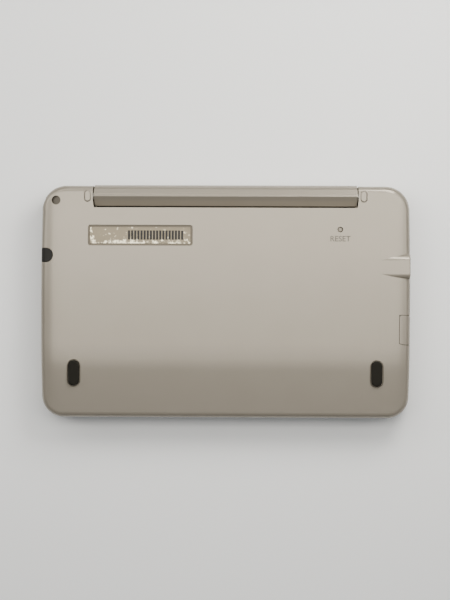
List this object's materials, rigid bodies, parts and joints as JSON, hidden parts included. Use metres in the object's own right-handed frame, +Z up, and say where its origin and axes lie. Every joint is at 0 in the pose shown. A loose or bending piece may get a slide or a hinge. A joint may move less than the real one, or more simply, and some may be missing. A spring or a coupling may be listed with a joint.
{
  "type": "electronic dictionary",
  "caption": "Pocket electronic dictionary with a hinged lid, shut and lying on it: keyboard base, screen lid, bar hinge, stylus, card slot cover and soft feet.",
  "frame": {"origin": "under the middle of the body, on the lid's outer face that the closed dictionary lies on", "axes": "+X along the width towards the earphone jack side, +Y towards the hinge, +Z up, out of the underside of the base"},
  "size_m": [0.1524, 0.0958, 0.0185],
  "materials": {
    "champagne_plastic": "satin paint over moulded plastic, warm champagne grey",
    "dark_bezel_plastic": "fine matt, near black",
    "screen_glass": "clear hard-coated touch window",
    "lcd_panel": "dark, unlit display",
    "amber_film": "amber polyimide ribbon",
    "black_plastic": "plain moulded black",
    "clutch_steel": "plated spring steel",
    "screw_steel": "zinc-plated",
    "bumper_rubber": "soft matt",
    "key_plate_plastic": "satin, a shade darker than the case",
    "membrane_rubber": "translucent grey silicone",
    "circuit_board": "green solder mask with black chips",
    "battery_foil": "pouch foil",
    "socket_steel": "tinned shell",
    "foot_rubber": "soft matt, near black",
    "label_foil": "silvery white sticker, printed with plain even bars",
    "stylus_plastic": "fine matt, near black",
    "reset_plastic": "plain moulded grey",
    "key_cap_plastic": "satin, light warm grey, with printed letters"
  },
  "bodies": {
    "lid": {"lid_cover": "champagne_plastic", "lid_bezel": "dark_bezel_plastic", "screen_window": "screen_glass", "lcd_module": "lcd_panel", "display_cable": "amber_film", "speaker": "black_plastic", "hinge_bar": "champagne_plastic", "hinge_clutches": "clutch_steel", "lid_screws": "screw_steel", "lid_bumpers": "bumper_rubber"},
    "base": {"bottom_case": "champagne_plastic", "keyboard_deck": "champagne_plastic", "key_plate": "key_plate_plastic", "key_membrane": "membrane_rubber", "main_board": "circuit_board", "battery": "battery_foil", "card_socket": "socket_steel", "usb_socket": "socket_steel", "earphone_jack": "black_plastic", "reset_switch": "black_plastic", "hinge_brackets": "clutch_steel", "stylus_tube": "black_plastic", "rubber_feet": "foot_rubber", "nameplate_label": "label_foil", "case_screws": "screw_steel", "bracket_screws": "screw_steel"},
    "stylus": {"stylus": "stylus_plastic"},
    "card_cover": {"card_cover": "champagne_plastic"},
    "reset_button": {"reset_button": "reset_plastic"},
    "power_key": {"power_key": "key_cap_plastic"},
    "enter_key": {"enter_key": "key_cap_plastic"},
    "cursor_keys": {"cursor_keys": "key_cap_plastic"},
    "function_keys": {"function_keys": "key_cap_plastic"},
    "command_keys": {"command_keys": "key_cap_plastic"},
    "key_a": {"key_a": "key_cap_plastic"},
    "key_b": {"key_b": "key_cap_plastic"},
    "key_c": {"key_c": "key_cap_plastic"},
    "key_d": {"key_d": "key_cap_plastic"},
    "key_e": {"key_e": "key_cap_plastic"},
    "key_f": {"key_f": "key_cap_plastic"},
    "key_g": {"key_g": "key_cap_plastic"},
    "key_h": {"key_h": "key_cap_plastic"},
    "key_i": {"key_i": "key_cap_plastic"},
    "key_j": {"key_j": "key_cap_plastic"},
    "key_k": {"key_k": "key_cap_plastic"},
    "key_l": {"key_l": "key_cap_plastic"},
    "key_m": {"key_m": "key_cap_plastic"},
    "key_n": {"key_n": "key_cap_plastic"},
    "key_o": {"key_o": "key_cap_plastic"},
    "key_p": {"key_p": "key_cap_plastic"},
    "key_q": {"key_q": "key_cap_plastic"},
    "key_r": {"key_r": "key_cap_plastic"},
    "key_s": {"key_s": "key_cap_plastic"},
    "key_t": {"key_t": "key_cap_plastic"},
    "key_u": {"key_u": "key_cap_plastic"},
    "key_v": {"key_v": "key_cap_plastic"},
    "key_w": {"key_w": "key_cap_plastic"},
    "key_x": {"key_x": "key_cap_plastic"},
    "key_y": {"key_y": "key_cap_plastic"},
    "key_z": {"key_z": "key_cap_plastic"}
  },
  "joints": [
    {"name": "base_hinge", "type": "hinge", "parent": "lid", "child": "base", "pos_m": [0, 0.04345, 0.0136], "axis": [-1, 0, 0], "range_deg": [0, 150]},
    {"name": "card_cover_swing", "type": "hinge", "parent": "base", "child": "card_cover", "pos_m": [0.075, -0.00655, 0.014], "axis": [0, 0, 1], "range_deg": [0, 90]},
    {"name": "reset_press", "type": "slide", "parent": "base", "child": "reset_button", "axis": [0, 0, -1], "range_m": [0, 0.0005], "stiffness_N_per_m": 300, "springref_m": -0.0002},
    {"name": "stylus_slide", "type": "slide", "parent": "base", "child": "stylus", "axis": [-1, 0, 0], "range_m": [0, 0.095]},
    {"name": "travel_power_key", "type": "slide", "parent": "base", "child": "power_key", "axis": [0, 0, 1], "range_m": [0, 0.0007], "stiffness_N_per_m": 400, "springref_m": -0.0005},
    {"name": "travel_enter_key", "type": "slide", "parent": "base", "child": "enter_key", "axis": [0, 0, 1], "range_m": [0, 0.0007], "stiffness_N_per_m": 400, "springref_m": -0.0005},
    {"name": "travel_cursor_keys", "type": "slide", "parent": "base", "child": "cursor_keys", "axis": [0, 0, 1], "range_m": [0, 0.0007], "stiffness_N_per_m": 1600, "springref_m": -0.0005},
    {"name": "travel_function_keys", "type": "slide", "parent": "base", "child": "function_keys", "axis": [0, 0, 1], "range_m": [0, 0.0007], "stiffness_N_per_m": 1600, "springref_m": -0.0005},
    {"name": "travel_command_keys", "type": "slide", "parent": "base", "child": "command_keys", "axis": [0, 0, 1], "range_m": [0, 0.0007], "stiffness_N_per_m": 1600, "springref_m": -0.0005},
    {"name": "travel_key_a", "type": "slide", "parent": "base", "child": "key_a", "axis": [0, 0, 1], "range_m": [0, 0.0007], "stiffness_N_per_m": 400, "springref_m": -0.0005},
    {"name": "travel_key_b", "type": "slide", "parent": "base", "child": "key_b", "axis": [0, 0, 1], "range_m": [0, 0.0007], "stiffness_N_per_m": 400, "springref_m": -0.0005},
    {"name": "travel_key_c", "type": "slide", "parent": "base", "child": "key_c", "axis": [0, 0, 1], "range_m": [0, 0.0007], "stiffness_N_per_m": 400, "springref_m": -0.0005},
    {"name": "travel_key_d", "type": "slide", "parent": "base", "child": "key_d", "axis": [0, 0, 1], "range_m": [0, 0.0007], "stiffness_N_per_m": 400, "springref_m": -0.0005},
    {"name": "travel_key_e", "type": "slide", "parent": "base", "child": "key_e", "axis": [0, 0, 1], "range_m": [0, 0.0007], "stiffness_N_per_m": 400, "springref_m": -0.0005},
    {"name": "travel_key_f", "type": "slide", "parent": "base", "child": "key_f", "axis": [0, 0, 1], "range_m": [0, 0.0007], "stiffness_N_per_m": 400, "springref_m": -0.0005},
    {"name": "travel_key_g", "type": "slide", "parent": "base", "child": "key_g", "axis": [0, 0, 1], "range_m": [0, 0.0007], "stiffness_N_per_m": 400, "springref_m": -0.0005},
    {"name": "travel_key_h", "type": "slide", "parent": "base", "child": "key_h", "axis": [0, 0, 1], "range_m": [0, 0.0007], "stiffness_N_per_m": 400, "springref_m": -0.0005},
    {"name": "travel_key_i", "type": "slide", "parent": "base", "child": "key_i", "axis": [0, 0, 1], "range_m": [0, 0.0007], "stiffness_N_per_m": 400, "springref_m": -0.0005},
    {"name": "travel_key_j", "type": "slide", "parent": "base", "child": "key_j", "axis": [0, 0, 1], "range_m": [0, 0.0007], "stiffness_N_per_m": 400, "springref_m": -0.0005},
    {"name": "travel_key_k", "type": "slide", "parent": "base", "child": "key_k", "axis": [0, 0, 1], "range_m": [0, 0.0007], "stiffness_N_per_m": 400, "springref_m": -0.0005},
    {"name": "travel_key_l", "type": "slide", "parent": "base", "child": "key_l", "axis": [0, 0, 1], "range_m": [0, 0.0007], "stiffness_N_per_m": 400, "springref_m": -0.0005},
    {"name": "travel_key_m", "type": "slide", "parent": "base", "child": "key_m", "axis": [0, 0, 1], "range_m": [0, 0.0007], "stiffness_N_per_m": 400, "springref_m": -0.0005},
    {"name": "travel_key_n", "type": "slide", "parent": "base", "child": "key_n", "axis": [0, 0, 1], "range_m": [0, 0.0007], "stiffness_N_per_m": 400, "springref_m": -0.0005},
    {"name": "travel_key_o", "type": "slide", "parent": "base", "child": "key_o", "axis": [0, 0, 1], "range_m": [0, 0.0007], "stiffness_N_per_m": 400, "springref_m": -0.0005},
    {"name": "travel_key_p", "type": "slide", "parent": "base", "child": "key_p", "axis": [0, 0, 1], "range_m": [0, 0.0007], "stiffness_N_per_m": 400, "springref_m": -0.0005},
    {"name": "travel_key_q", "type": "slide", "parent": "base", "child": "key_q", "axis": [0, 0, 1], "range_m": [0, 0.0007], "stiffness_N_per_m": 400, "springref_m": -0.0005},
    {"name": "travel_key_r", "type": "slide", "parent": "base", "child": "key_r", "axis": [0, 0, 1], "range_m": [0, 0.0007], "stiffness_N_per_m": 400, "springref_m": -0.0005},
    {"name": "travel_key_s", "type": "slide", "parent": "base", "child": "key_s", "axis": [0, 0, 1], "range_m": [0, 0.0007], "stiffness_N_per_m": 400, "springref_m": -0.0005},
    {"name": "travel_key_t", "type": "slide", "parent": "base", "child": "key_t", "axis": [0, 0, 1], "range_m": [0, 0.0007], "stiffness_N_per_m": 400, "springref_m": -0.0005},
    {"name": "travel_key_u", "type": "slide", "parent": "base", "child": "key_u", "axis": [0, 0, 1], "range_m": [0, 0.0007], "stiffness_N_per_m": 400, "springref_m": -0.0005},
    {"name": "travel_key_v", "type": "slide", "parent": "base", "child": "key_v", "axis": [0, 0, 1], "range_m": [0, 0.0007], "stiffness_N_per_m": 400, "springref_m": -0.0005},
    {"name": "travel_key_w", "type": "slide", "parent": "base", "child": "key_w", "axis": [0, 0, 1], "range_m": [0, 0.0007], "stiffness_N_per_m": 400, "springref_m": -0.0005},
    {"name": "travel_key_x", "type": "slide", "parent": "base", "child": "key_x", "axis": [0, 0, 1], "range_m": [0, 0.0007], "stiffness_N_per_m": 400, "springref_m": -0.0005},
    {"name": "travel_key_y", "type": "slide", "parent": "base", "child": "key_y", "axis": [0, 0, 1], "range_m": [0, 0.0007], "stiffness_N_per_m": 400, "springref_m": -0.0005},
    {"name": "travel_key_z", "type": "slide", "parent": "base", "child": "key_z", "axis": [0, 0, 1], "range_m": [0, 0.0007], "stiffness_N_per_m": 400, "springref_m": -0.0005}
  ]
}
